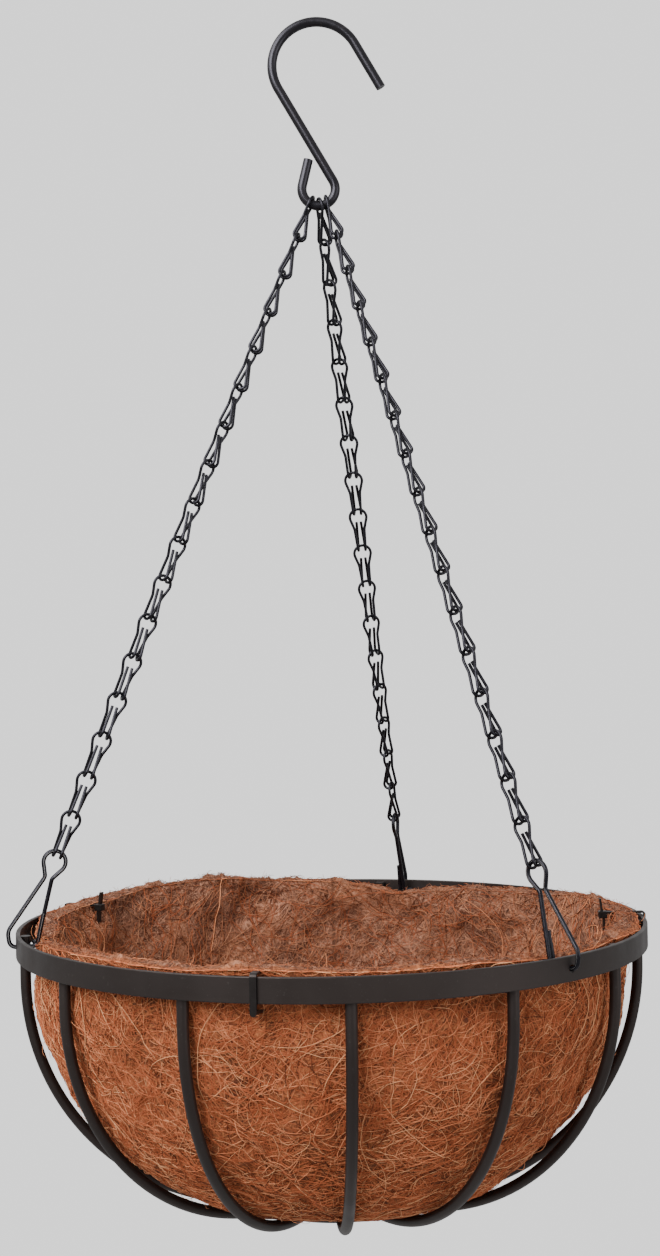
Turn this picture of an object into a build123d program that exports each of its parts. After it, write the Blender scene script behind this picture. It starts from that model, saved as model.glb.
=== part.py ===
from build123d import *
from math import asin, cos, degrees, radians, sin, sqrt
import os

# A hanging basket: a bowl of welded round bars under a flat iron rim, lined with a
# coconut fibre mat, hung by three chains of bent wire links from one S-hook.
# The origin is the seat of the S-hook: the inside top of its upper bend. +Z is up,
# and the S-hook lies in the XZ plane. Azimuths count from -Y, positive towards +X.
# All sizes are in millimetres.

# S-hook
hook_wire = 5.5
hook_bend_radius = 25.6
hook_curl_radius = 9.6
hook_centres = 71.1
hook_tip = 29.6
curl_tip = 15.2
curl_tip_lean = 14.1

# Rim of flat bar
rim_diameter = 355.6
rim_height = 12.7
rim_thickness = 2.5
rim_edge_round = 0.4
clip_hole = 4.2

# Bowl of round bars
rib_count = 13
rib_wire = 6.0
rib_first_azimuth = 2.9
rib_top_drop = 1.5
rib_straight = 25.0
rib_weld_depth = 0.3
bowl_depth = 155.0
base_ring_diameter = 90.0

# Fibre liner
liner_thickness = 10.0
liner_side_gap = 3.2
liner_bottom_gap = 0.8
liner_above_rim = 5.0
liner_straight = 24.0
liner_notch_width = 11.5
liner_notch_depth = 14.7
liner_notch_offset = 2.8

# Chains
chain_wire = 1.7
chain_links = 17
link_pitch = 23.4
loop_radius = 5.03
loop_shoulder = 6.8
neck_half_width = 3.0
neck_height = 12.5
neck_back = 0.9
neck_bend_radius = 8.0
prong_spread = 2.1
prong_toe_in = 0.1
prong_rise = 0.4
prong_tip_spread = 1.35
prong_tip_back = 0.5
hook_back = 3.2
hook_front = 4.5
hook_bottom_radius = 2.8
prong_tip_depth = 8.2
link_clearance = 0.5
links_per_node = 2

# Clips that carry the rim
clip_wire = 2.4
clip_radius = 6.1
clip_shoulder = 10.1
clip_reach = 156.0
clip_centre_height = 39.5
clip_lean = 21.9
clip_waist_drop = 9.3
clip_waist_half = 1.95
clip_bow_bottom = 3.2
clip_bow = 4.4
clip_bow_height = 2.2
clip_inset = 11.5
clip_leg_gap = 0.3
clip_tip_height = 11.0
clip_tip_lean = 3.7
clip_foot = 4.6
clip_foot_rise = 1.3
clip_foot_out = 1.4

# Plastic ties
tie_width = 3.4
tie_thickness = 1.1
tie_clearance = 0.4
tie_below_rim = 4.2
tie_bend_radius = 1.4
tie_lift = 0.8
tie_inside_drop = 2.5
tie_head = 4.8
tie_head_height = 4.0
tie_head_inset = 0.6
tie_head_drop = 1.2
tie_head_sunk = 7.0
tie_head_round = 0.5
tie_tail = 8.0
tie_tail_inset = 1.4
tie_tail_lean = 8.0

# Where the chains hang: azimuth on the rim, place on the curl from its lowest
# point, and the way the links turn from top to bottom.
chains = {
    "left": {"azimuth": -78.0, "on_curl": -28.0, "top_turn": -5.0, "bottom_turn": -78.0},
    "back": {"azimuth": 164.0, "on_curl": 4.0, "top_turn": 18.0, "bottom_turn": 162.0},
    "right": {"azimuth": 42.0, "on_curl": 29.0, "top_turn": 3.0, "bottom_turn": 39.6},
}
ties = {"front": -12.1, "left": -114.5, "right": 90.0}
ties_with_tail_up = ("left", "right")

# Worked out from the sizes above
rim_radius = rim_diameter / 2
bend_z = -(hook_bend_radius - hook_wire / 2)
curl_z = bend_z - hook_centres
clip_top_reach = clip_reach - clip_radius * sin(radians(clip_lean))
clip_top_height = clip_centre_height + clip_radius * cos(radians(clip_lean))
chain_top_z = curl_z - hook_curl_radius + hook_wire / 2 + chain_wire / 2
chain_run = clip_top_reach - hook_curl_radius / 4
chain_drop = sqrt((chain_links * link_pitch) ** 2 - chain_run**2)
rim_z = chain_top_z - chain_drop - clip_top_height
rib_centre_radius = rim_radius - rim_thickness - rib_wire / 2 + rib_weld_depth
base_ring_radius = base_ring_diameter / 2


def write(node, solids):
    """Writes one node's solids as a STEP file."""
    shape = solids[0] if len(solids) == 1 else Compound(children=solids)
    export_step(shape, f"parts/{node}.step")


def bent_wire(path, diameter):
    """A round wire along a path."""
    section = Plane(origin=path @ 0, z_dir=path % 0) * Circle(diameter / 2)
    return sweep(section, path=path).solid()


def radial(azimuth, z=0.0):
    """The frame at an azimuth: X outwards, Y along the rim, Z up."""
    return Location((0, 0, z), (0, 0, azimuth - 90))


def nest(inner_radius, outer_wire):
    """How far a link's bottom wire sits below the top of the loop that it carries."""
    loop_to_wire = inner_radius - outer_wire / 2 - chain_wire / 2 - link_clearance
    return inner_radius - sqrt(loop_to_wire**2 - prong_spread**2)


def s_hook():
    """One bent wire: tip, upper bend, shank, lower curl and its short tip."""
    lean = degrees(asin((hook_bend_radius + hook_curl_radius) / hook_centres))
    along = Vector(sin(radians(lean)), -cos(radians(lean)))
    across = Vector(cos(radians(lean)), sin(radians(lean)))
    bend = Vector(0, bend_z)
    curl = Vector(0, curl_z)
    tip_start = bend + across * hook_bend_radius
    shank_top = bend - across * hook_bend_radius
    shank_bottom = curl + across * hook_curl_radius
    curl_sweep = -(lean + 180 + curl_tip_lean)
    curl_arc = CenterArc(curl, hook_curl_radius, lean, curl_sweep)
    curl_end = curl_arc @ 1
    curl_tip_end = curl_end + (curl_arc % 1) * curl_tip
    path = Wire(
        [
            Line(tip_start + along * hook_tip, tip_start),
            CenterArc(bend, hook_bend_radius, lean, 180),
            Line(shank_top, shank_bottom),
            curl_arc,
            Line(curl_end, curl_tip_end),
        ]
    )
    return bent_wire(Plane.XZ * path, hook_wire)


def chain_link(length):
    """A wire bent into a pear loop at the top and a double hook at the bottom.

    The origin is the top of the loop, on the wire's centre line. The loop lies in
    the XZ plane and the hooks open towards +Y. Length runs from there to the
    centre of the wire at the hooks' lowest point.
    """
    half = [
        (loop_shoulder, 0, 0),
        (neck_half_width, -neck_back, -neck_height),
        (prong_spread + prong_toe_in, -hook_back, -length),
        (prong_spread - prong_toe_in, hook_front, -length + prong_rise),
        (prong_tip_spread, -prong_tip_back, -prong_tip_depth),
    ]
    bends = [loop_radius, neck_bend_radius, hook_bottom_radius, hook_bottom_radius]
    mirrored = [(-x, y, z) for x, y, z in reversed(half)]
    path = FilletPolyline(*mirrored, *half, radius=bends[::-1] + bends)
    return bent_wire(path, chain_wire)


def chain_ends(chain):
    """The top of the first link's loop and the top of the clip's loop."""
    angle = radians(chain["on_curl"])
    wire = Vector(
        hook_curl_radius * sin(angle), 0, curl_z - hook_curl_radius * cos(angle)
    )
    azimuth = radians(chain["azimuth"])
    bottom = Vector(
        clip_top_reach * sin(azimuth),
        -clip_top_reach * cos(azimuth),
        rim_z + clip_top_height,
    )
    up = (wire - bottom).normalized()
    along_wire = Vector(cos(angle), 0, sin(angle))
    square_to_wire = sqrt(1 - up.dot(along_wire) ** 2)
    standoff = (hook_wire + chain_wire) / 2 + link_clearance
    return wire + up * (standoff / square_to_wire), bottom


def link_turn(name, chain, share):
    """How far a link is turned about its chain, from 0 at the top to 1 at the bottom."""
    top, bottom = chain["top_turn"], chain["bottom_turn"]
    if name == "left":
        share = share * share * (3 - 2 * share)
    if name == "back":
        from_middle = 2 * share - 1
        share = 0.5 + 0.5 * from_middle * abs(from_middle) ** 0.3
    return top + (bottom - top) * share


def chain_solids(name, chain):
    """The links of one chain, from the S-hook to the clip."""
    top, bottom = chain_ends(chain)
    up = (top - bottom).normalized()
    right = (Vector(1, 0, 0) - up * up.X).normalized()
    away = up.cross(right)
    loop_nest = nest(loop_radius, chain_wire)
    clip_nest = nest(clip_radius, clip_wire)
    pitch = ((top - bottom).length + clip_nest - loop_nest) / chain_links
    link = chain_link(pitch + loop_nest)
    solids = []
    for number in range(chain_links):
        turn = radians(link_turn(name, chain, number / (chain_links - 1)))
        hooks_towards = right * cos(turn) + away * sin(turn)
        place = Plane(
            origin=top - up * (pitch * number),
            x_dir=hooks_towards.cross(up),
            z_dir=up,
        )
        solids.append(place.location * link)
    return solids


def clip():
    """One bent wire: a loop for the chain, a leg bowed out round the rim and back
    through its hole with the end turned up inside, and a straight leg with a foot.

    X is outwards from the basket's axis, and Z is up from the rim's top edge.
    """
    lean = radians(clip_lean)
    up = Vector(-sin(lean), 0, cos(lean))
    out = Vector(cos(lean), 0, sin(lean))
    centre = Vector(clip_reach, 0, clip_centre_height)
    loop_top = centre + up * clip_radius
    waist = centre - up * clip_waist_drop
    hole_z = -rim_height / 2
    inside = rim_radius - clip_inset
    beside = -(clip_wire + clip_leg_gap)
    points = [
        Vector(inside - clip_tip_lean, 0, clip_tip_height),
        Vector(inside, 0, hole_z),
        Vector(rim_radius + clip_bow_bottom, 0, hole_z),
        Vector(rim_radius + clip_bow, 0, clip_bow_height),
        waist + out * clip_waist_half,
        loop_top + out * clip_shoulder,
        loop_top - out * clip_shoulder,
        waist - out * clip_waist_half,
        Vector(inside, beside, hole_z),
        Vector(inside + clip_foot_out, beside - clip_foot, hole_z + clip_foot_rise),
    ]
    bends = [3.0, 4.0, 7.0, 3.5, clip_radius, clip_radius, 3.5, 2.0]
    path = FilletPolyline(*points, radius=bends)
    return bent_wire(path, clip_wire)


def rim_band(azimuths):
    """The flat bar rim with one hole for each clip."""
    outer = Cylinder(rim_radius, rim_height, align=(Align.CENTER, Align.CENTER, Align.MAX))
    bore = Cylinder(
        rim_radius - rim_thickness,
        rim_height,
        align=(Align.CENTER, Align.CENTER, Align.MAX),
    )
    band = outer - bore
    band = fillet(band.edges().filter_by(GeomType.CIRCLE), rim_edge_round)
    for azimuth in azimuths:
        hole = Pos(rim_radius, 0, -rim_height / 2) * Rot(0, 90, 0)
        band -= radial(azimuth) * hole * Cylinder(clip_hole / 2, 6 * rim_thickness)
    return Pos(0, 0, rim_z) * band.solid()


def bowl_curve(radius, top, straight_end, inner_radius, bottom):
    """A straight run down, then two arcs that meet at 45 degrees and end level.

    Radii and heights are in the XZ plane, and heights count from the rim's top.
    """
    width = radius - inner_radius
    height = straight_end - bottom
    half = cos(radians(45))
    upper = (half * height - (1 - half) * width) / (2 * half - 1)
    lower = (half * width - (1 - half) * height) / (2 * half - 1)
    line = Line((radius, top), (radius, straight_end))
    upper_arc = CenterArc((radius - upper, straight_end), upper, 0, -45)
    lower_arc = CenterArc((inner_radius, bottom + lower), lower, -45, -45)
    return [line, upper_arc, lower_arc]


def base_ring():
    """The ring that gathers the ribs' lower ends."""
    return Pos(0, 0, rim_z - bowl_depth) * Torus(base_ring_radius, rib_wire / 2)


def rib(azimuth, ring):
    """One round bar from the inside of the rim down to the base ring."""
    curve = bowl_curve(
        rib_centre_radius, -rib_top_drop, -rib_straight, base_ring_radius, -bowl_depth
    )
    bar = bent_wire(Plane.XZ * Wire(curve), rib_wire)
    weld = Cylinder(rim_radius - rim_thickness, 4 * rim_height)
    above = Box(rim_diameter, rim_diameter, 4 * bowl_depth)
    bar = (bar & (weld + Pos(0, 0, -2 * bowl_depth - rim_height) * above)).solid()
    return (radial(azimuth, rim_z) * bar - ring).solid()


def tie_shape(width, thickness, extra, tail_up):
    """A strap round the rim that pierces the mat above and below, its head inside.

    Its tail stands up from the head, or is cut to a point under the rim.
    """
    outside = rim_radius + tie_clearance + tie_thickness / 2
    liner_outside = rib_centre_radius - rib_wire / 2 - liner_side_gap
    inside = liner_outside - liner_thickness - tie_clearance - tie_thickness / 2
    over = tie_lift + tie_thickness / 2
    below = -rim_height - tie_below_rim
    drop = tie_head_drop if tail_up else tie_head_sunk
    corners = [
        (outside, below),
        (outside, over),
        (inside, over),
        (inside, below - tie_inside_drop),
    ]
    loop = make_face(FilletPolyline(*corners, radius=tie_bend_radius, close=True))
    strap = offset(loop, thickness / 2) - offset(loop, -thickness / 2)
    solid = Plane.XZ * extrude(strap, width / 2, both=True)
    head_place = Pos(inside - tie_head_inset, 0, over - drop)
    head = Box(tie_head + extra, tie_head + extra, tie_head_height + extra)
    head = head_place * fillet(head.edges(), tie_head_round)
    tail = Pos(outside, 0, below) * Rot(0, 90, 0) * Cylinder(width / 2, thickness)
    if tail_up:
        tail = Box(thickness, tie_width, tie_tail)
        tail = Rot(0, -tie_tail_lean, 0) * tail
        tail = Pos(inside - tie_tail_inset, 0, over + tie_tail / 2) * tail
    return solid + head + tail


def liner(clip_azimuths):
    """The fibre mat: an open bowl inside the ribs, notched for the clips' wires and
    slotted where the ties pass through."""
    outer_radius = rib_centre_radius - rib_wire / 2 - liner_side_gap
    inner_radius = outer_radius - liner_thickness
    outer_bottom = -bowl_depth + rib_wire / 2 + liner_bottom_gap
    inner_bottom = outer_bottom + liner_thickness
    outer = bowl_curve(
        outer_radius, liner_above_rim, -liner_straight, base_ring_radius, outer_bottom
    )
    inner = bowl_curve(
        inner_radius, liner_above_rim, -liner_straight, base_ring_radius, inner_bottom
    )
    outline = Wire(
        [
            *outer,
            Line((base_ring_radius, outer_bottom), (0, outer_bottom)),
            Line((0, outer_bottom), (0, inner_bottom)),
            Line((0, inner_bottom), (base_ring_radius, inner_bottom)),
            *inner,
            Line((inner_radius, liner_above_rim), (outer_radius, liner_above_rim)),
        ]
    )
    mat = revolve(Plane.XZ * make_face(outline), Axis.Z)
    notch_place = Pos((outer_radius + inner_radius) / 2, -liner_notch_offset, 0)
    notch = notch_place * Box(
        1.2 * liner_thickness, liner_notch_width, 2 * liner_notch_depth
    )
    for azimuth in clip_azimuths:
        mat -= radial(azimuth) * notch
    gap = 2 * tie_clearance
    for name, azimuth in ties.items():
        slot = tie_shape(tie_width + gap, tie_thickness + gap, gap, name in ties_with_tail_up)
        mat -= radial(azimuth) * slot
    return Pos(0, 0, rim_z) * mat.solid()


os.makedirs("parts", exist_ok=True)

write("s_hook", [s_hook()])
clip_azimuths = [chain["azimuth"] for chain in chains.values()]
write("rim_band", [rim_band(clip_azimuths)])
ring = base_ring()
write("base_ring", [ring])
for number in range(rib_count):
    azimuth = rib_first_azimuth + number * 360 / rib_count
    write(f"rib_{number + 1:02d}", [rib(azimuth, ring)])
write("coir_liner", [liner(clip_azimuths)])
for name, azimuth in ties.items():
    strap = tie_shape(tie_width, tie_thickness, 0.0, name in ties_with_tail_up)
    write(f"tie_{name}", [radial(azimuth, rim_z) * strap.solid()])
clip_solid = clip()
for name, chain in chains.items():
    write(f"clip_{name}", [radial(chain["azimuth"], rim_z) * clip_solid])
    links = chain_solids(name, chain)
    for start in range(0, chain_links, links_per_node):
        node = f"chain_{name}_{start // links_per_node + 1}"
        write(node, links[start : start + links_per_node])
print("rim top at", round(rim_z, 2), "chain drop", round(chain_drop, 2))
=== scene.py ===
import math

import bpy
import numpy as np
from mathutils import Matrix, Vector


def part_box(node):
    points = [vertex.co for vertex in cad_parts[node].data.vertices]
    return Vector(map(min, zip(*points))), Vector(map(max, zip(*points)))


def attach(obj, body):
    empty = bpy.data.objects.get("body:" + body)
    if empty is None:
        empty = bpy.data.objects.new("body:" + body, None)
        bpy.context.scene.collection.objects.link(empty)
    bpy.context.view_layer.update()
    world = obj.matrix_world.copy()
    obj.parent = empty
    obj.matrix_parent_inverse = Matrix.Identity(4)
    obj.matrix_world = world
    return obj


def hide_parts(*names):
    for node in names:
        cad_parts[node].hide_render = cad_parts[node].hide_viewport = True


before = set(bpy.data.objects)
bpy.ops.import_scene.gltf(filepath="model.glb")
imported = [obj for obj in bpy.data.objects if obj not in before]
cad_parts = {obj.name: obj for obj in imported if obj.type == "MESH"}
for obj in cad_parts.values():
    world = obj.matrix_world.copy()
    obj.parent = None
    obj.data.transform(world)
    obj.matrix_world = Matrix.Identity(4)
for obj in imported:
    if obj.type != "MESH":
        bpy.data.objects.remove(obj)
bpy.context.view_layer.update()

# A hanging basket with a coconut fibre liner. The metal and the ties are the CAD
# nodes, with painted and plastic materials. The liner is modelled here: a rough mat
# and the loose fibres that lie on it. Everything is in metres, in the CAD's frame,
# and azimuths count from -Y, positive towards +X.

MM = 0.001

# ---------------------------------------------------------------- places from CAD
liner_low, liner_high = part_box("coir_liner")
ring_low, ring_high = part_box("base_ring")
rod_radius = 3.0 * MM
rim_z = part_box("rim_band")[1].z
mat_radius = liner_high.x
mat_bottom = liner_low.z - rim_z
flat_radius = (ring_high.x - ring_low.y) / 2 - rod_radius


def azimuth_of(node):
    """The azimuth of a CAD node's middle, in degrees."""
    low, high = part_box(node)
    middle = (low + high) / 2
    return math.degrees(math.atan2(middle.x, -middle.y))


clip_azimuths = [azimuth_of("clip_" + n) for n in ("left", "back", "right")]
tie_azimuths = [azimuth_of("tie_" + n) for n in ("front", "left", "right")]

# ---------------------------------------------------------------- camera
camera_position = Vector((1.0 * MM, -0.9994, rim_z + 0.1524))
camera_yaw = -0.061
camera_pitch = 0.815
camera_roll = 1.021
lens = 50.0
sensor = 36.0


def make_camera():
    """A level camera a metre in front, a hand's width above the rim."""
    data = bpy.data.cameras.new("camera")
    data.lens = lens
    data.sensor_width = sensor
    camera = bpy.data.objects.new("camera", data)
    bpy.context.scene.collection.objects.link(camera)
    yaw = Matrix.Rotation(math.radians(camera_yaw), 3, "Z")
    pitch = Matrix.Rotation(math.radians(camera_pitch), 3, "X")
    roll = Matrix.Rotation(math.radians(camera_roll), 3, "Y")
    axes = yaw @ pitch @ roll
    right, forward, up = axes.col[0], axes.col[1], axes.col[2]
    turned = Matrix((right, up, -forward)).transposed()
    camera.matrix_world = Matrix.Translation(camera_position) @ turned.to_4x4()
    bpy.context.scene.camera = camera


# ---------------------------------------------------------------- floor and light
room_light = 0.72
seen_white = 1.4
floor_side = 30.0
floor_drop = 2.2
floor_grey = 0.6
lamps = {  # place, size, watts
    "key": ((-0.9, -1.5, 0.55), 1.1, 49.0),
    "fill": ((1.5, -1.1, -0.1), 1.2, 13.0),
    "top": ((-0.55, -0.35, 0.4), 0.7, 9.0),
}


def make_stage():
    """A plain pale floor far below, in a pale room that meets it without an edge."""
    material = bpy.data.materials.new("floor_paint")
    material.use_nodes = True
    tree = material.node_tree
    shader = tree.nodes["Principled BSDF"]
    shader.inputs["Base Color"].default_value = (*grey(floor_grey), 1)
    shader.inputs["Roughness"].default_value = 0.9
    glow = tree.nodes.new("ShaderNodeEmission")
    glow.inputs["Strength"].default_value = seen_white
    whiten(tree, shader.outputs[0], glow.outputs[0], tree.nodes["Material Output"])
    mesh = bpy.data.meshes.new("floor")
    height = mat_bottom + rim_z - floor_drop
    signs = ((-1, -1), (1, -1), (1, 1), (-1, 1))
    corners = [(x * floor_side, y * floor_side, height) for x, y in signs]
    mesh.from_pydata(corners, [], [(0, 1, 2, 3)])
    mesh.materials.append(material)
    floor = bpy.data.objects.new("floor", mesh)
    bpy.context.scene.collection.objects.link(floor)

    world = bpy.data.worlds.new("room")
    bpy.context.scene.world = world
    world.use_nodes = True
    nodes = world.node_tree.nodes
    room = nodes["Background"]
    room.inputs["Color"].default_value = (1.0, 1.0, 1.0, 1)
    room.inputs["Strength"].default_value = room_light
    seen = nodes.new("ShaderNodeBackground")
    seen.inputs["Color"].default_value = (1, 1, 1, 1)
    seen.inputs["Strength"].default_value = seen_white
    whiten(world.node_tree, room.outputs[0], seen.outputs[0], nodes["World Output"])

    for name, (place, size, watts) in lamps.items():
        lamp(name, place, size, watts)


def whiten(tree, lit, seen, output):
    """Lights the object with one shader, and shows the other as the plain backdrop."""
    path = tree.nodes.new("ShaderNodeLightPath")
    blend = tree.nodes.new("ShaderNodeMixShader")
    tree.links.new(path.outputs["Is Camera Ray"], blend.inputs[0])
    tree.links.new(lit, blend.inputs[1])
    tree.links.new(seen, blend.inputs[2])
    tree.links.new(blend.outputs[0], output.inputs[0])


def lamp(name, place, size, power):
    """A square soft light aimed at the bowl."""
    data = bpy.data.lights.new(name, "AREA")
    data.shape = "SQUARE"
    data.size = size
    data.energy = power
    light = bpy.data.objects.new(name, data)
    bpy.context.scene.collection.objects.link(light)
    light.location = place
    aim = Vector((0, 0, rim_z - 50 * MM)) - Vector(place)
    light.rotation_mode = "QUATERNION"
    light.rotation_quaternion = aim.to_track_quat("-Z", "Y")


# ---------------------------------------------------------------- material helpers
# Tints of what a surface reflects.
warm = (1.0, 0.83, 0.78)
cool = (0.88, 0.86, 1.0)


def new_material(name, roughness, specular, tint=warm):
    """A node material and its tree, its shader and its object coordinates."""
    material = bpy.data.materials.new(name)
    material.use_nodes = True
    tree = material.node_tree
    shader = tree.nodes["Principled BSDF"]
    shader.inputs["Roughness"].default_value = roughness
    shader.inputs["Specular IOR Level"].default_value = specular
    shader.inputs["Specular Tint"].default_value = (*tint, 1)
    place = tree.nodes.new("ShaderNodeTexCoord").outputs["Object"]
    return material, tree, shader, place


def noise(tree, vector, scale, detail, distortion=0.0):
    """A noise texture's value."""
    node = tree.nodes.new("ShaderNodeTexNoise")
    node.inputs["Scale"].default_value = scale
    node.inputs["Detail"].default_value = detail
    node.inputs["Distortion"].default_value = distortion
    tree.links.new(vector, node.inputs["Vector"])
    return node.outputs["Fac"]


def ramp(tree, value, stops):
    """A colour ramp with (place, colour) stops."""
    node = tree.nodes.new("ShaderNodeValToRGB")
    elements = node.color_ramp.elements
    while len(elements) < len(stops):
        elements.new(0.5)
    for element, (place, colour) in zip(elements, stops):
        element.position = place
        element.color = (*colour, 1)
    tree.links.new(value, node.inputs["Fac"])
    return node.outputs["Color"]


def grey(value):
    """A grey colour."""
    return (value, value, value)


def mix(tree, amount, a, b):
    """Mixes two colours. Each may be a socket or a colour, and amount a socket or a number."""
    node = tree.nodes.new("ShaderNodeMix")
    node.data_type = "RGBA"
    for socket, given in ((node.inputs[0], amount), (node.inputs[6], a), (node.inputs[7], b)):
        if isinstance(given, (int, float)):
            socket.default_value = given
        elif isinstance(given, tuple):
            socket.default_value = (*given, 1)
        else:
            tree.links.new(given, socket)
    return node.outputs[2]


def math_node(tree, kind, a, b):
    """One step of arithmetic on sockets or numbers."""
    node = tree.nodes.new("ShaderNodeMath")
    node.operation = kind
    for socket, given in ((node.inputs[0], a), (node.inputs[1], b)):
        if isinstance(given, (int, float)):
            socket.default_value = given
        else:
            tree.links.new(given, socket)
    return node.outputs[0]


def bump(tree, shader, height, depth, strength):
    """Bumps a shader's surface by a height times a depth in metres."""
    node = tree.nodes.new("ShaderNodeBump")
    node.inputs["Distance"].default_value = depth
    node.inputs["Strength"].default_value = strength
    tree.links.new(height, node.inputs["Height"])
    tree.links.new(node.outputs["Normal"], shader.inputs["Normal"])


# ---------------------------------------------------------------- metal and plastic
def powder_coat():
    """Satin black powder coat: fine orange peel, dusty patches, slightly warm."""
    material, tree, shader, place = new_material("powder_coat", 0.4, 0.45)
    patches = noise(tree, place, 24, 4)
    colour = ramp(tree, patches, [(0.3, (0.0058, 0.0046, 0.0044)), (0.7, (0.0115, 0.0088, 0.008))])
    specks = ramp(tree, noise(tree, place, 900, 2), [(0.66, grey(0)), (0.74, grey(0.5))])
    colour = mix(tree, specks, colour, (0.035, 0.032, 0.03))
    tree.links.new(colour, shader.inputs["Base Color"])
    gloss = ramp(tree, noise(tree, place, 60, 3), [(0.3, grey(0.36)), (0.7, grey(0.5))])
    tree.links.new(gloss, shader.inputs["Roughness"])
    bump(tree, shader, noise(tree, place, 1400, 2), 0.00005, 0.7)
    return material


def wire_coat():
    """Glossy black lacquer on drawn wire, with a faint violet cast and tiny runs."""
    material, tree, shader, place = new_material("wire_coat", 0.32, 0.3, cool)
    patches = noise(tree, place, 180, 3)
    colour = ramp(tree, patches, [(0.35, (0.0025, 0.0024, 0.0032)), (0.7, (0.0065, 0.006, 0.008))])
    tree.links.new(colour, shader.inputs["Base Color"])
    gloss = ramp(tree, noise(tree, place, 320, 2), [(0.35, grey(0.22)), (0.7, grey(0.4))])
    tree.links.new(gloss, shader.inputs["Roughness"])
    bump(tree, shader, noise(tree, place, 900, 2), 0.00003, 0.3)
    return material


def hook_coat():
    """The S-hook's coat: satin brown-black, rubbed where it carries."""
    material, tree, shader, place = new_material("hook_coat", 0.34, 0.34, cool)
    patches = noise(tree, place, 90, 4, 0.5)
    colour = ramp(tree, patches, [(0.3, (0.0028, 0.0025, 0.003)), (0.7, (0.0075, 0.0063, 0.0068))])
    rubbed = ramp(tree, noise(tree, place, 420, 3), [(0.64, grey(0)), (0.72, grey(0.55))])
    colour = mix(tree, rubbed, colour, (0.022, 0.018, 0.018))
    tree.links.new(colour, shader.inputs["Base Color"])
    gloss = ramp(tree, noise(tree, place, 150, 3), [(0.35, grey(0.26)), (0.7, grey(0.42))])
    tree.links.new(gloss, shader.inputs["Roughness"])
    bump(tree, shader, noise(tree, place, 700, 3), 0.00005, 0.35)
    return material


def cut_steel():
    """The bare cut end of a wire: bright steel with shear marks."""
    material, tree, shader, place = new_material("cut_steel", 0.35, 0.5)
    shader.inputs["Metallic"].default_value = 1.0
    marks = noise(tree, place, 2500, 2, 0.6)
    colour = ramp(tree, marks, [(0.3, grey(0.5)), (0.7, grey(0.82))])
    tree.links.new(colour, shader.inputs["Base Color"])
    bump(tree, shader, marks, 0.00004, 0.5)
    return material


def nylon():
    """Black moulded nylon, satin, with fine ribs along it."""
    material, tree, shader, place = new_material("black_nylon", 0.38, 0.3)
    patches = noise(tree, place, 400, 2)
    colour = ramp(tree, patches, [(0.3, grey(0.003)), (0.7, grey(0.007))])
    tree.links.new(colour, shader.inputs["Base Color"])
    bump(tree, shader, noise(tree, place, 2200, 1), 0.00005, 0.6)
    return material


def cap_faces(mesh, least=8):
    """The flat cut ends of a wire's mesh: planes that hold many triangles."""
    planes = {}
    for polygon in mesh.polygons:
        offset = polygon.normal.dot(polygon.center)
        key = (*(round(c, 3) for c in polygon.normal), round(offset, 5))
        planes.setdefault(key, []).append(polygon.index)
    return [i for found in planes.values() if len(found) >= least for i in found]


def dress_cad():
    """Gives every shown CAD node its material."""
    coats = {"rim_band": powder_coat(), "s_hook": hook_coat()}
    coats["base_ring"] = coats["rim_band"]
    wire, plastic, bare = wire_coat(), nylon(), cut_steel()
    for name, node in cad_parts.items():
        coat = coats.get(name, wire)
        if name.startswith("rib_"):
            coat = coats["rim_band"]
        if name.startswith("tie_"):
            coat = plastic
        node.data.materials.clear()
        node.data.materials.append(coat)
        if name.startswith("clip_"):
            node.data.materials.append(bare)
            for index in cap_faces(node.data):
                node.data.polygons[index].material_index = 1
        for polygon in node.data.polygons:
            polygon.use_smooth = True


# ---------------------------------------------------------------- the mat's shape
mat_thickness = 10.0 * MM
mat_straight = 24.0 * MM
columns = 450
outer_rows = 110
lip_rows = 8
inner_rows = 96

# The mat's hand-made unevenness, in mm by azimuth in degrees.
# The top edge's height above the rim's top: highest at the back left, and below the
# rim beside the clips.
lip_heights = {
    -180: 1.6, -168: 2.2, -153: 6.6, -137: 5.4, -122: 3.0, -104: 0.6, -90: -1.5,
    -78: -5.0, -66: -1.0, -45: 1.4, -28: 0.6, -12: 2.2, 6: 0.6, 24: 1.4, 34: -0.6,
    42: -3.5, 52: -1.0, 70: -0.2, 88: 1.2, 110: 2.6, 126: -0.6, 144: -0.8, 154: -4.0,
    164: -6.2, 172: -2.2,
}
# How far the lip spreads outwards over the ribs' tops.
lip_spread = {
    -180: 2, -150: 4, -125: 6.5, -105: 7, -92: 3, -78: 0, -62: 3, -40: 5, 0: 5, 30: 4.5,
    42: 0.5, 55: 4.5, 72: 6.5, 90: 4.5, 105: 5, 125: 4, 150: 2, 164: 0,
}
# How far the mat stands in from the CAD's bowl, near the rim.
slack_at_rim = {
    -180: 1, -120: 1, -100: -1, -78: 0, -55: 1.5, -20: 0.6, 20: 0.6, 55: 0, 80: -2,
    105: -1, 140: 3,
}
# The same, low down where the bowl curves in.
slack_below = {
    -180: 1, -100: 2.4, -60: 1.2, -20: 0.3, 20: 0.3, 55: 2.2, 85: 5, 120: 4, 150: 2,
}
# How far the inside leans in below the lip, where the wall sags.
lean_inside = {
    -180: 0, -130: 4, -95: 10, -60: 6, -30: 2, 0: 1, 40: 2, 75: 7, 110: 5, 145: 1,
}

# The mat's roughness: wavelength in mm, height in mm outside and inside, and how many
# waves are added up.
relief = [
    (70, 1.6, 3.52, 28),
    (22, 0.8, 1.6, 28),
    (8, 0.45, 0.45, 40),
    (4.5, 0.3, 0.3, 40),
]
outer_seed = 3
inner_seed = 13

# Where the clips' wires press the mat in: the wires stand this many degrees aside of
# the clips' middles.
clip_wire_turn = -1.1
dent_width = 11 * MM
dent_height = 26 * MM
outer_dent = 6.5 * MM
inner_dent = 2.5 * MM
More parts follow.
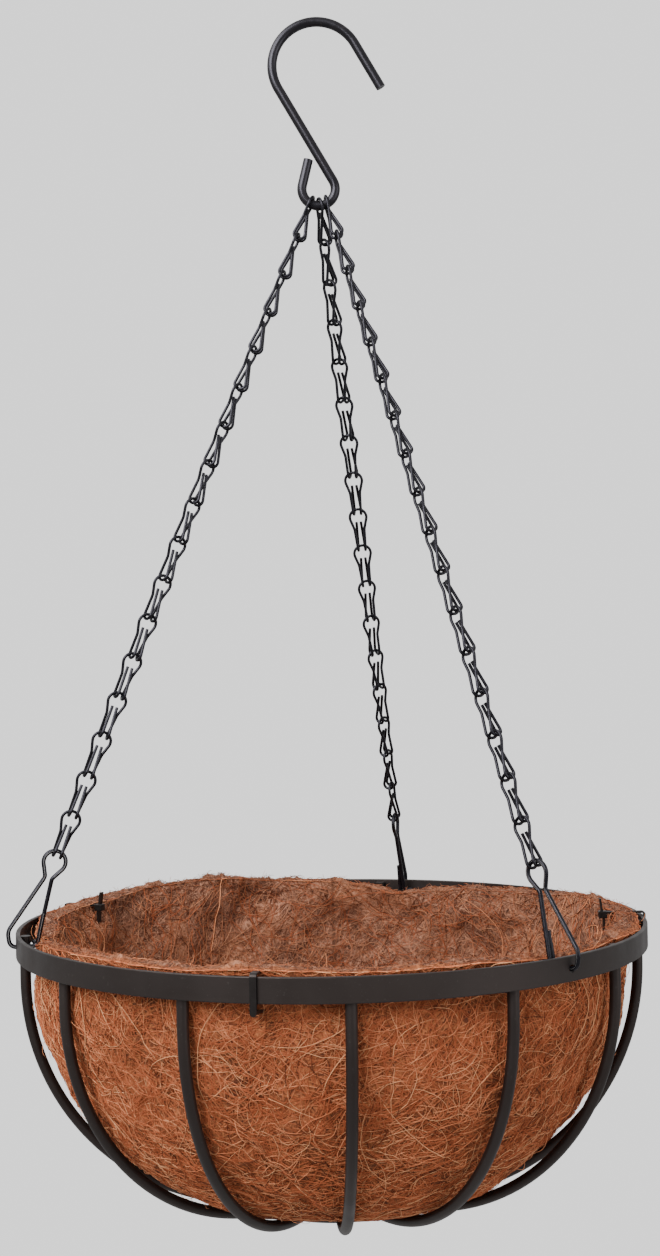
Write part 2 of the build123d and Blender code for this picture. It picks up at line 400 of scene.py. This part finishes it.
# How wide a tie holds the mat even, and how far down it and the rim's slack reach.
tie_hold = 9 * MM
rim_reach = 38 * MM
# How far down the lip's height and its outward spread reach.
lift_reach = 42 * MM
outer_flare_reach = 9 * MM
inner_flare_reach = 16 * MM
# The mat stands out from the CAD's bowl by this much at most, between the ribs.
most_outward = 1.6 * MM


def round_table(table):
    """A smooth function of azimuth in degrees through a table's values, in metres."""
    keys = np.array(sorted(table), float)
    values = np.array([table[k] for k in sorted(table)]) * MM

    def at(azimuth):
        x = (np.asarray(azimuth) - keys[0]) % 360 + keys[0]
        after = np.searchsorted(keys, x, side="right") % len(keys)
        before = after - 1
        span = (keys[after] - keys[before]) % 360
        share = ((x - keys[before]) % 360) / np.where(span == 0, 360, span)
        share = share * share * (3 - 2 * share)
        return values[before] + (values[after] - values[before]) * share

    return at


lip_height = round_table(lip_heights)
rim_slack = round_table(slack_at_rim)
low_slack = round_table(slack_below)
inner_lean = round_table(lean_inside)
lip_flare = round_table(lip_spread)


def smooth(x):
    """0 below 0, 1 above 1 and smooth between."""
    x = np.clip(x, 0, 1)
    return x * x * (3 - 2 * x)


def rough(points, wavelength, seed, waves=28):
    """A smooth random value about 0, within about one, that varies over a wavelength."""
    rng = np.random.default_rng(seed)
    directions = rng.normal(size=(waves, 3))
    directions /= np.linalg.norm(directions, axis=1)[:, None]
    rates = 2 * math.pi / wavelength * rng.uniform(0.6, 1.5, waves)
    phases = rng.uniform(0, 2 * math.pi, waves)
    total = np.zeros(points.shape[:-1])
    for direction, rate, phase in zip(directions, rates, phases):
        total += np.sin(points @ direction * rate + phase)
    return total / math.sqrt(waves / 2) / 1.6


def bowl_profile(radius, bottom, count):
    """Points (r, z) from the bowl's centre out, up two arcs that meet at 45 degrees,
    and up a straight run to the mat's top, evenly spaced."""
    width = radius - flat_radius
    height = -mat_straight - bottom
    half = math.cos(math.radians(45))
    upper = (half * height - (1 - half) * width) / (2 * half - 1)
    lower = (half * width - (1 - half) * height) / (2 * half - 1)
    turn = np.radians(np.linspace(0, 45, 40))
    parts = [
        np.column_stack([np.linspace(0, flat_radius, 20), np.full(20, bottom)]),
        np.column_stack(
            [flat_radius + lower * np.sin(turn), bottom + lower * (1 - np.cos(turn))]
        ),
        np.column_stack(
            [
                radius - upper * (1 - np.cos(turn[::-1])),
                -mat_straight - upper * np.sin(turn[::-1]),
            ]
        ),
        np.column_stack([np.full(12, radius), np.linspace(-mat_straight, 0, 12)]),
    ]
    points = np.vstack(parts)
    run = np.concatenate([[0], np.cumsum(np.linalg.norm(np.diff(points, axis=0), axis=1))])
    keep = np.concatenate([[True], np.diff(run) > 1e-7])
    at = np.linspace(0, run[-1], count)
    return np.column_stack([np.interp(at, run[keep], points[keep, i]) for i in (0, 1)])


def near(azimuth, centres, width, radius):
    """1 at each centre azimuth, falling to 0 a width in metres away along the rim."""
    total = np.zeros(np.shape(azimuth))
    for centre in centres:
        away = np.abs((azimuth - centre + 180) % 360 - 180)
        total = np.maximum(total, 1 - smooth(np.radians(away) * radius / width))
    return total


def band(depth, start, rise, end, fall):
    """1 between two depths in mm, rising over one length and falling over another."""
    return smooth((depth / MM - start) / rise) * (1 - smooth((depth / MM - end) / fall))


def fade(depth, reach):
    """1 at the rim, falling to 0 at a depth in metres."""
    return 1 - smooth(depth / reach)


def crease(azimuth, depth):
    """A fold that runs down to the right across the mat's front left."""
    fold_azimuth = -26 + (depth / MM - 55) * 0.28
    away = np.radians(azimuth - fold_azimuth) * mat_radius * 0.8
    groove = -2.6 * np.exp(-((away / (3.2 * MM)) ** 2))
    swell = 1.5 * np.exp(-(((away - 8 * MM) / (7 * MM)) ** 2))
    return (groove + swell) * MM * band(depth, 42, 22, 118, 24)


def roughness_of(points, outside, held):
    """How far one side of the mat stands out at each point, less where a tie holds it."""
    seed = outer_seed if outside else inner_seed
    layers = []
    for number, (wavelength, out_height, in_height, waves) in enumerate(relief):
        height = out_height if outside else in_height
        layers.append(rough(points, wavelength * MM, seed + number, waves) * height)
    lumps, clumps, tufts, tips = layers
    broad = (lumps + clumps) * MM * (1 - held)
    return broad + (tufts + tips) * MM * (1 - 0.6 * held)


def mat_surface(profile, outside):
    """The grid of points of the mat's outside or inside, rows from the centre out."""
    azimuth = np.linspace(-180, 180, columns, endpoint=False)[None, :]
    turn = np.radians(azimuth)
    r, z = profile[:, :1], profile[:, 1:]
    depth = -z
    tangent = np.gradient(profile, axis=0)
    tangent /= np.linalg.norm(tangent, axis=1)[:, None]
    normal_r, normal_z = tangent[:, 1:], -tangent[:, :1]

    near_rim = fade(depth, rim_reach)
    inward = rim_slack(azimuth) * near_rim
    inward = inward + low_slack(azimuth) * band(depth, 25, 60, 130, 12)
    wires = [clip + clip_wire_turn for clip in clip_azimuths]
    dent = smooth(near(azimuth, wires, dent_width, mat_radius) * 2)
    dent = dent * fade(depth, dent_height)
    inward = inward + dent * (outer_dent if outside else inner_dent)

    flat = np.stack([r * np.sin(turn), -r * np.cos(turn), z + 0 * turn], axis=-1)
    held = near(azimuth, tie_azimuths, tie_hold, mat_radius) * near_rim
    offset = roughness_of(flat, outside, held)
    if outside:
        # The bottom is flatter, where the ribs turn in under it.
        flatter = 1 - 0.6 * smooth((depth / MM - 128) / 18)
        offset = (offset - 0.6 * MM) * flatter + crease(azimuth, depth)
        offset = np.minimum(offset - inward, most_outward)
        flare = lip_flare(azimuth) * fade(depth, outer_flare_reach)
    else:
        offset = -offset - inward * 0.9 - inner_lean(azimuth) * band(depth, 0, 34, 62, 50)
        flare = lip_flare(azimuth) * fade(depth, inner_flare_reach) * 0.7
    # Near the bowl's centre the points stay on their radius.
    radius = r + normal_r * offset * smooth(r / (12 * MM)) + flare
    height = z + normal_z * offset + lip_height(azimuth) * fade(depth, lift_reach)
    return np.stack([radius * np.sin(turn), -radius * np.cos(turn), height + rim_z], axis=-1)


def mat_grids():
    """The outside, lip and inside of the mat as grids of points."""
    outer = mat_surface(bowl_profile(mat_radius, mat_bottom, outer_rows), True)
    inner_profile = bowl_profile(
        mat_radius - mat_thickness, mat_bottom + mat_thickness, inner_rows
    )
    inner = mat_surface(inner_profile, False)
    share = np.linspace(0, 1, lip_rows + 2)[1:-1, None, None]
    edge, far = outer[-1][None], inner[-1][None]
    lip = edge + (far - edge) * share
    # The lip is a low crown, ragged along its top.
    ragged = rough(lip, 5 * MM, 31, 40) * 0.9 + rough(lip, 16 * MM, 32) * 1.3
    crown = np.sin(share[..., 0] * math.pi)
    lip[..., 2] += (crown * 0.8 + ragged * crown) * MM
    return outer, lip, inner


def surface_normals(grid):
    """Unit normals of a grid of points that closes round its columns."""
    along = np.roll(grid, -1, axis=1) - np.roll(grid, 1, axis=1)
    up = np.gradient(grid, axis=0)
    normals = np.cross(along, up)
    return normals / np.maximum(np.linalg.norm(normals, axis=2), 1e-9)[..., None]


def mat_faces(rows):
    """The faces of a closed skin: a grid of quads and a fan at each end."""
    row, column = np.meshgrid(np.arange(rows - 1), np.arange(columns), indexing="ij")
    after = (column + 1) % columns
    low, high = row * columns, (row + 1) * columns
    corners = [low + column, low + after, high + after, high + column]
    faces = np.stack(corners, axis=-1).reshape(-1, 4).tolist()
    bottom, top = rows * columns, rows * columns + 1
    last = (rows - 1) * columns
    for here in range(columns):
        after = (here + 1) % columns
        faces.append((bottom, after, here))
        faces.append((top, last + here, last + after))
    return faces


# The map is true to size at this distance from the axis, and the lip's first rows count
# as outside.
map_radius = 0.15
rows_of_outside_lip = 2


def map_mat(mesh, grid):
    """Gives the mat's mesh a map of azimuth and run, in metres."""
    layer = mesh.uv_layers.new(name="MatMap")
    corners = np.zeros(len(mesh.loops), np.int32)
    mesh.loops.foreach_get("vertex_index", corners)
    steps = np.linalg.norm(np.diff(grid, axis=0), axis=2).mean(axis=1)
    run = np.concatenate([[0], np.cumsum(steps)])
    row_of = np.minimum(corners // columns, len(grid) - 1)
    angle = (corners % columns) / columns
    uv = np.column_stack([angle * 2 * math.pi * map_radius, run[row_of]])
    layer.data.foreach_set("uv", uv.astype(np.float32).ravel())


def make_mat(outer, lip, inner):
    """The mat as one closed mesh that stands in for the CAD's liner."""
    grid = np.concatenate([outer[1:], lip, inner[1:][::-1]])
    points = np.concatenate([grid.reshape(-1, 3), outer[:1, 0], inner[:1, 0]])
    mesh = bpy.data.meshes.new("coir_mat")
    mesh.from_pydata(points.tolist(), [], mat_faces(len(grid)))
    mesh.update()
    map_mat(mesh, grid)
    for polygon in mesh.polygons:
        polygon.use_smooth = True
    mat = bpy.data.objects.new("coir_mat", mesh)
    bpy.context.scene.collection.objects.link(mat)
    mesh.materials.append(mat_material())
    inside = np.zeros(len(mesh.vertices), np.float32)
    inside[(len(outer) - 1 + rows_of_outside_lip) * columns :] = 1
    middle_of_outside = len(grid) * columns
    inside[middle_of_outside] = 0
    mesh.attributes.new("inside", "FLOAT", "POINT").data.foreach_set("value", inside)
    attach(mat, "basket")
    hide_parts("coir_liner")


# ---------------------------------------------------------------- coir
def coir_tones(tree, place, inside):
    """The mat's own colour, in random patches: dark brown, brown body and orange; browner inside."""
    patches = noise(tree, place, 26, 4, 0.4)
    outside = ramp(
        tree, patches,
        [(0.34, (0.085, 0.025, 0.013)), (0.5, (0.185, 0.052, 0.023)), (0.66, (0.32, 0.096, 0.041))],
    )
    within = ramp(
        tree, patches,
        [(0.34, (0.07, 0.028, 0.018)), (0.5, (0.16, 0.066, 0.039)), (0.66, (0.33, 0.125, 0.06))],
    )
    return mix(tree, inside, outside, within)


# The streaks' directions in degrees, how often they repeat per metre along and across,
# and how far they are bent, in metres.
streak_turns = (12, 48, 85, 121, 158)
streak_rates = (75, 1300, 1)
streak_bend = (0.022, 0.022, 0)


def mat_material():
    """Matted coconut fibre: streaks that cross at many angles, with painted shade darkening the gaps
    between them and small pits among the fibres.
    """
    material, tree, shader, place = new_material("coir_mat", 0.85, 0.2)
    attribute = tree.nodes.new("ShaderNodeAttribute")
    attribute.attribute_name = "inside"
    inside = attribute.outputs["Fac"]
    colour = coir_tones(tree, place, inside)
    uv = tree.nodes.new("ShaderNodeUVMap")
    uv.uv_map = "MatMap"
    warp = tree.nodes.new("ShaderNodeTexNoise")
    warp.inputs["Scale"].default_value = 45
    tree.links.new(uv.outputs["UV"], warp.inputs["Vector"])
    bend = tree.nodes.new("ShaderNodeVectorMath")
    bend.operation = "MULTIPLY_ADD"
    bend.inputs[1].default_value = streak_bend
    tree.links.new(warp.outputs["Color"], bend.inputs[0])
    tree.links.new(uv.outputs["UV"], bend.inputs[2])
    height = None
    for turn in streak_turns:
        mapping = tree.nodes.new("ShaderNodeMapping")
        mapping.inputs["Rotation"].default_value = (0, 0, math.radians(turn))
        mapping.inputs["Location"].default_value = (turn * 0.13, turn * 0.07, 0)
        tree.links.new(bend.outputs[0], mapping.inputs["Vector"])
        stretch = tree.nodes.new("ShaderNodeVectorMath")
        stretch.operation = "MULTIPLY"
        stretch.inputs[1].default_value = streak_rates
        tree.links.new(mapping.outputs[0], stretch.inputs[0])
        streaks = noise(tree, stretch.outputs[0], 1.0, 2, 0.3)
        line = ramp(tree, streaks, [(0.54, grey(0)), (0.63, grey(1))])
        pale = mix(tree, inside, (0.46, 0.155, 0.06), (0.38, 0.18, 0.11))
        colour = mix(tree, mix(tree, 0.52, grey(0), line), colour, pale)
        # Painted shade: the gaps between the streaks are darkened, for the shade that falls down
        # between the fibres.
        dark = ramp(tree, streaks, [(0.3, grey(0.6)), (0.4, grey(0))])
        colour = mix(tree, dark, colour, (0.055, 0.02, 0.012))
        height = line if height is None else math_node(tree, "MAXIMUM", height, line)
    # Painted shade: small dark spots at random, for the shade down in pits among the fibres.
    painted_hole_shade = ramp(tree, noise(tree, place, 420, 3), [(0.3, grey(0.85)), (0.4, grey(0))])
    colour = mix(tree, painted_hole_shade, colour, (0.04, 0.016, 0.01))
    tree.links.new(colour, shader.inputs["Base Color"])
    bump(tree, shader, height, 0.0007, 0.8)
    return material


def fibre_material(name, colour):
    """One tone of coconut fibre."""
    material, _, shader, _ = new_material(name, 0.65, 0.12)
    shader.inputs["Base Color"].default_value = (*colour, 1)
    return material


class Sheet:
    """One side of the mat, to lay fibres on: points and normals by azimuth and run."""

    def __init__(self, grid, sign):
        self.grid = grid
        self.normals = surface_normals(grid) * sign
        steps = np.linalg.norm(np.diff(grid, axis=0), axis=2).mean(axis=1)
        self.length = float(steps.sum())
        self.radii = np.hypot(grid[..., 0], grid[..., 1]).mean(axis=1)
        self.rows = len(grid)

    def spread(self, rng, count, low):
        """Random places, evenly spread above a share of the rows: azimuth and row share."""
        share = np.linspace(low, 1.0, 400)
        weight = np.cumsum(np.interp(share, np.linspace(0, 1, self.rows), self.radii))
        picked = np.interp(rng.uniform(0, weight[-1], count), weight, share)
        return rng.uniform(0, 2 * math.pi, count), picked

    def at(self, angle, share):
        """Points and normals, between the grid's own."""
        u = (angle / (2 * math.pi) % 1) * columns
        v = np.clip(share, 0, 1) * (self.rows - 1)
        u0, v0 = np.floor(u).astype(int) % columns, np.minimum(np.floor(v).astype(int), self.rows - 2)
        fu, fv = (u - np.floor(u))[..., None], (v - v0)[..., None]
        u1 = (u0 + 1) % columns
        found = []
        for field in (self.grid, self.normals):
            a = field[v0, u0] * (1 - fu) + field[v0, u1] * fu
            b = field[v0 + 1, u0] * (1 - fu) + field[v0 + 1, u1] * fu
            found.append(a * (1 - fv) + b * fv)
        return found


# How deep a lying fibre's ends are sunk into the mat.
ends_sunk = 0.25 * MM


def walk(sheet, rng, count, length, knots, wander, lift, low=0.06):
    """Centre lines of fibres that lie on a sheet, curving as they go: points and normals."""
    angle, share = sheet.spread(rng, count, low)
    way = rng.uniform(0, 2 * math.pi, count)
    curl = rng.normal(0, wander, count)
    step = rng.uniform(0.5, 1.5, count) * length / (knots - 1)
    points, normals = [], []
    for _ in range(knots):
        point, normal = sheet.at(angle, share)
        points.append(point)
        normals.append(normal)
        radius = np.interp(share, np.linspace(0, 1, sheet.rows), sheet.radii)
        angle = angle + np.cos(way) * step / np.maximum(radius, 8 * MM)
        share = np.clip(share + np.sin(way) * step / sheet.length, 0.01, 1.0)
        way = way + curl + rng.normal(0, wander * 0.5, count)
    points, normals = np.stack(points, 1), np.stack(normals, 1)
    along = np.sin(np.linspace(0, math.pi, knots))[None, :, None]
    rise = rng.uniform(lift[0], lift[1], count)[:, None, None]
    points = points + normals * (rise * along - ends_sunk * (1 - along))
    return points, normals


def tube_mesh(name, vertices, count, knots):
    """A mesh of closed three-sided tubes, all with the same number of knots."""
    start = np.arange(count)[:, None, None] * knots * 3
    ring = np.arange(knots - 1)[None, :, None] * 3
    corner = np.arange(3)[None, None, :]
    here = start + ring + corner
    after = start + ring + (corner + 1) % 3
    sides = np.stack([here, after, after + 3, here + 3], axis=-1).reshape(-1, 4)
    ends = np.arange(count)[:, None] * knots * 3
    first = ends + np.array([2, 1, 0])[None]
    last = ends + (knots - 1) * 3 + np.array([0, 1, 2])[None]
    loops = np.concatenate([sides.ravel(), first.ravel(), last.ravel()])
    sizes = np.concatenate([np.full(len(sides), 4), np.full(2 * count, 3)])
    starts = np.concatenate([[0], np.cumsum(sizes)[:-1]])
    mesh = bpy.data.meshes.new(name)
    mesh.vertices.add(len(vertices))
    mesh.vertices.foreach_set("co", vertices.astype(np.float32).ravel())
    mesh.loops.add(len(loops))
    mesh.loops.foreach_set("vertex_index", loops.astype(np.int32))
    mesh.polygons.add(len(sizes))
    mesh.polygons.foreach_set("loop_start", starts.astype(np.int32))
    mesh.polygons.foreach_set("use_smooth", np.ones(len(sizes), bool))
    mesh.update(calc_edges=True)
    mesh.validate()
    return mesh


def tubes(name, points, normals, thickness, rng, material):
    """Thin three-sided tubes along lines of points, as one piece that rides on the basket."""
    count, knots = points.shape[:2]
    along = np.gradient(points, axis=1)
    along /= np.maximum(np.linalg.norm(along, axis=2), 1e-9)[..., None]
    side = np.cross(along, normals)
    side /= np.maximum(np.linalg.norm(side, axis=2), 1e-9)[..., None]
    up = np.cross(side, along)
    radius = rng.uniform(0.7, 1.3, count)[:, None, None] * thickness / 2
    # A fibre is thinner at both ends: the sine runs from almost 0 to almost pi.
    taper = 0.35 + 0.65 * np.sin(np.linspace(0.12, 3.02, knots)) ** 0.5
    radius = radius * taper[None, :, None]
    rings = []
    for corner in range(3):
        turn = math.radians(90 + 120 * corner)
        rings.append(points + (side * math.cos(turn) + up * math.sin(turn)) * radius)
    vertices = np.stack(rings, axis=2).reshape(-1, 3)
    mesh = tube_mesh(name, vertices, count, knots)
    mesh.materials.append(material)
    piece = bpy.data.objects.new(name, mesh)
    bpy.context.scene.collection.objects.link(piece)
    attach(piece, "basket")


# The fibres' colours.
fibre_tones = {
    "rust": (0.395, 0.107, 0.044),
    "orange": (0.55, 0.172, 0.075),
    "tan": (0.67, 0.262, 0.125),
    "straw": (0.74, 0.36, 0.18),
    "brown": (0.115, 0.034, 0.017),
    "earth": (0.33, 0.124, 0.062),
    "dust": (0.5, 0.22, 0.115),
}
# The tangle: piece, tone, how many, length in mm, knots, wander in radians a knot, and
# thickness in mm.
outer_layers = [
    ("coir_outer_rust_1", "rust", 3400, 44, 10, 0.2, 0.4),
    ("coir_outer_rust_2", "rust", 5000, 22, 7, 0.26, 0.42),
    ("coir_outer_orange", "orange", 3400, 40, 10, 0.24, 0.36),
    ("coir_outer_tan", "tan", 3500, 30, 10, 0.32, 0.32),
    ("coir_outer_brown", "brown", 2400, 16, 7, 0.28, 0.4),
    ("coir_outer_straw", "straw", 1500, 34, 10, 0.3, 0.32),
]
inner_layers = [
    ("coir_inner_earth", "earth", 3400, 34, 9, 0.26, 0.42),
    ("coir_inner_rust", "rust", 2400, 34, 9, 0.28, 0.38),
    ("coir_inner_brown", "brown", 2400, 18, 7, 0.28, 0.42),
    ("coir_inner_dust", "dust", 1800, 30, 9, 0.3, 0.34),
]
first_layer_seed = 100
long_fibre_seed = 7
hair_seed = 21
# How far the middle of a lying fibre stands off the mat, from least to most.
lift_of_tangle = (0.1 * MM, 0.9 * MM)
lift_of_long_outside = (0.6 * MM, 1.3 * MM)
lift_of_long_inside = (0.6 * MM, 2.2 * MM)


def lay_fibres(outside, inside, fibres):
    """The fibres that lie on the mat: a dense tangle on both sides, and long pale ones."""
    layers = [(outside, *layer) for layer in outer_layers]
    layers += [(inside, *layer) for layer in inner_layers]
    for number, (sheet, name, tone, count, length, knots, wander, thick) in enumerate(layers):
        rng = np.random.default_rng(first_layer_seed + number)
        points, normals = walk(sheet, rng, count, length * MM, knots, wander, lift_of_tangle)
        tubes(name, points, normals, thick * MM, rng, fibres[tone])
    rng = np.random.default_rng(long_fibre_seed)
    points, normals = walk(outside, rng, 110, 70 * MM, 18, 0.13, lift_of_long_outside, 0.2)
    tubes("coir_outer_long", points, normals, 0.42 * MM, rng, fibres["straw"])
    points, normals = walk(inside, rng, 70, 60 * MM, 16, 0.14, lift_of_long_inside, 0.25)
    tubes("coir_inner_long", points, normals, 0.5 * MM, rng, fibres["tan"])


# Hairs: knots, thicknesses, and the lip's tufts by tone with their number and length.
tuft_knots = 5
stray_knots = 7
tuft_thickness = 0.3 * MM
stray_thickness = 0.26 * MM
lip_tufts = {"rust": (800, 4.0 * MM), "earth": (3000, 4.4 * MM), "brown": (1700, 4.0 * MM)}


def tufts_on(edge, rng, count, length):
    """Short hairs that leave the lip mostly along the rim, and droop: points and normals."""
    column = rng.integers(0, columns, count)
    row = rng.integers(0, len(edge), count)
    start = edge[row, column]
    angle = np.arctan2(start[:, 0], -start[:, 1])
    away = np.stack([np.sin(angle), -np.cos(angle), 0 * angle], -1)
    round_rim = np.stack([np.cos(angle), np.sin(angle), 0 * angle], -1)
    up = np.array([0, 0, 1.0])
    sideways = rng.normal(0, 0.9, count)[:, None]
    inwards = rng.normal(0.15, 0.35, count)[:, None]
    heading = up * 0.25 + round_rim * sideways - away * inwards
    heading /= np.linalg.norm(heading, axis=1)[:, None]
    droop = rng.uniform(0.2, 1.1, count)[:, None]
    size = rng.uniform(0.4, 1.3, count)[:, None] * length
    points = []
    for t in np.linspace(-0.2, 1, tuft_knots):
        points.append(start + heading * size * t - up * size * droop * 0.5 * t * abs(t))
    normals = np.repeat(round_rim[:, None] + away[:, None] * 0.3, tuft_knots, 1)
    return np.stack(points, 1), normals


def loose_hairs(edge, outside, inside, fibres):
    """Short tufts on the lip, and stray hairs off both sides."""
    rng = np.random.default_rng(hair_seed)
    for tone, (count, length) in lip_tufts.items():
        points, normals = tufts_on(edge, rng, count, length)
        tubes("coir_lip_" + tone, points, normals, tuft_thickness, rng, fibres[tone])
    strays("coir_outer_stray", outside, fibres["tan"], rng, 520, 0.12)
    strays("coir_inner_stray", inside, fibres["tan"], rng, 260, 0.3)


def strays(name, sheet, material, rng, count, low):
    """Hairs that leave a sheet at a slant and bend back towards it."""
    angle, share = sheet.spread(rng, count, low)
    start, normal = sheet.at(angle, share)
    other = rng.normal(size=(count, 3))
    tangent = other - normal * np.sum(other * normal, axis=1)[:, None]
    tangent /= np.linalg.norm(tangent, axis=1)[:, None]
    size = rng.uniform(4, 13, count)[:, None] * MM
    rise = rng.uniform(0.2, 0.36, count)[:, None]
    points = []
    for t in np.linspace(-0.05, 1, stray_knots):
        bulge = rise * math.sin(t * 2.4)
        points.append(start + tangent * size * t + normal * size * bulge)
    normals = np.repeat(normal[:, None], stray_knots, 1)
    tubes(name, np.stack(points, 1), normals, stray_thickness, rng, material)


make_camera()
make_stage()
dress_cad()
outer, lip, inner = mat_grids()
make_mat(outer, lip, inner)
outside, inside = Sheet(outer, 1), Sheet(inner, -1)
fibres = {tone: fibre_material("fibre_" + tone, colour) for tone, colour in fibre_tones.items()}
lay_fibres(outside, inside, fibres)
edge = np.concatenate([outer[-3:], lip, inner[-3:][::-1]])
loose_hairs(edge, outside, inside, fibres)
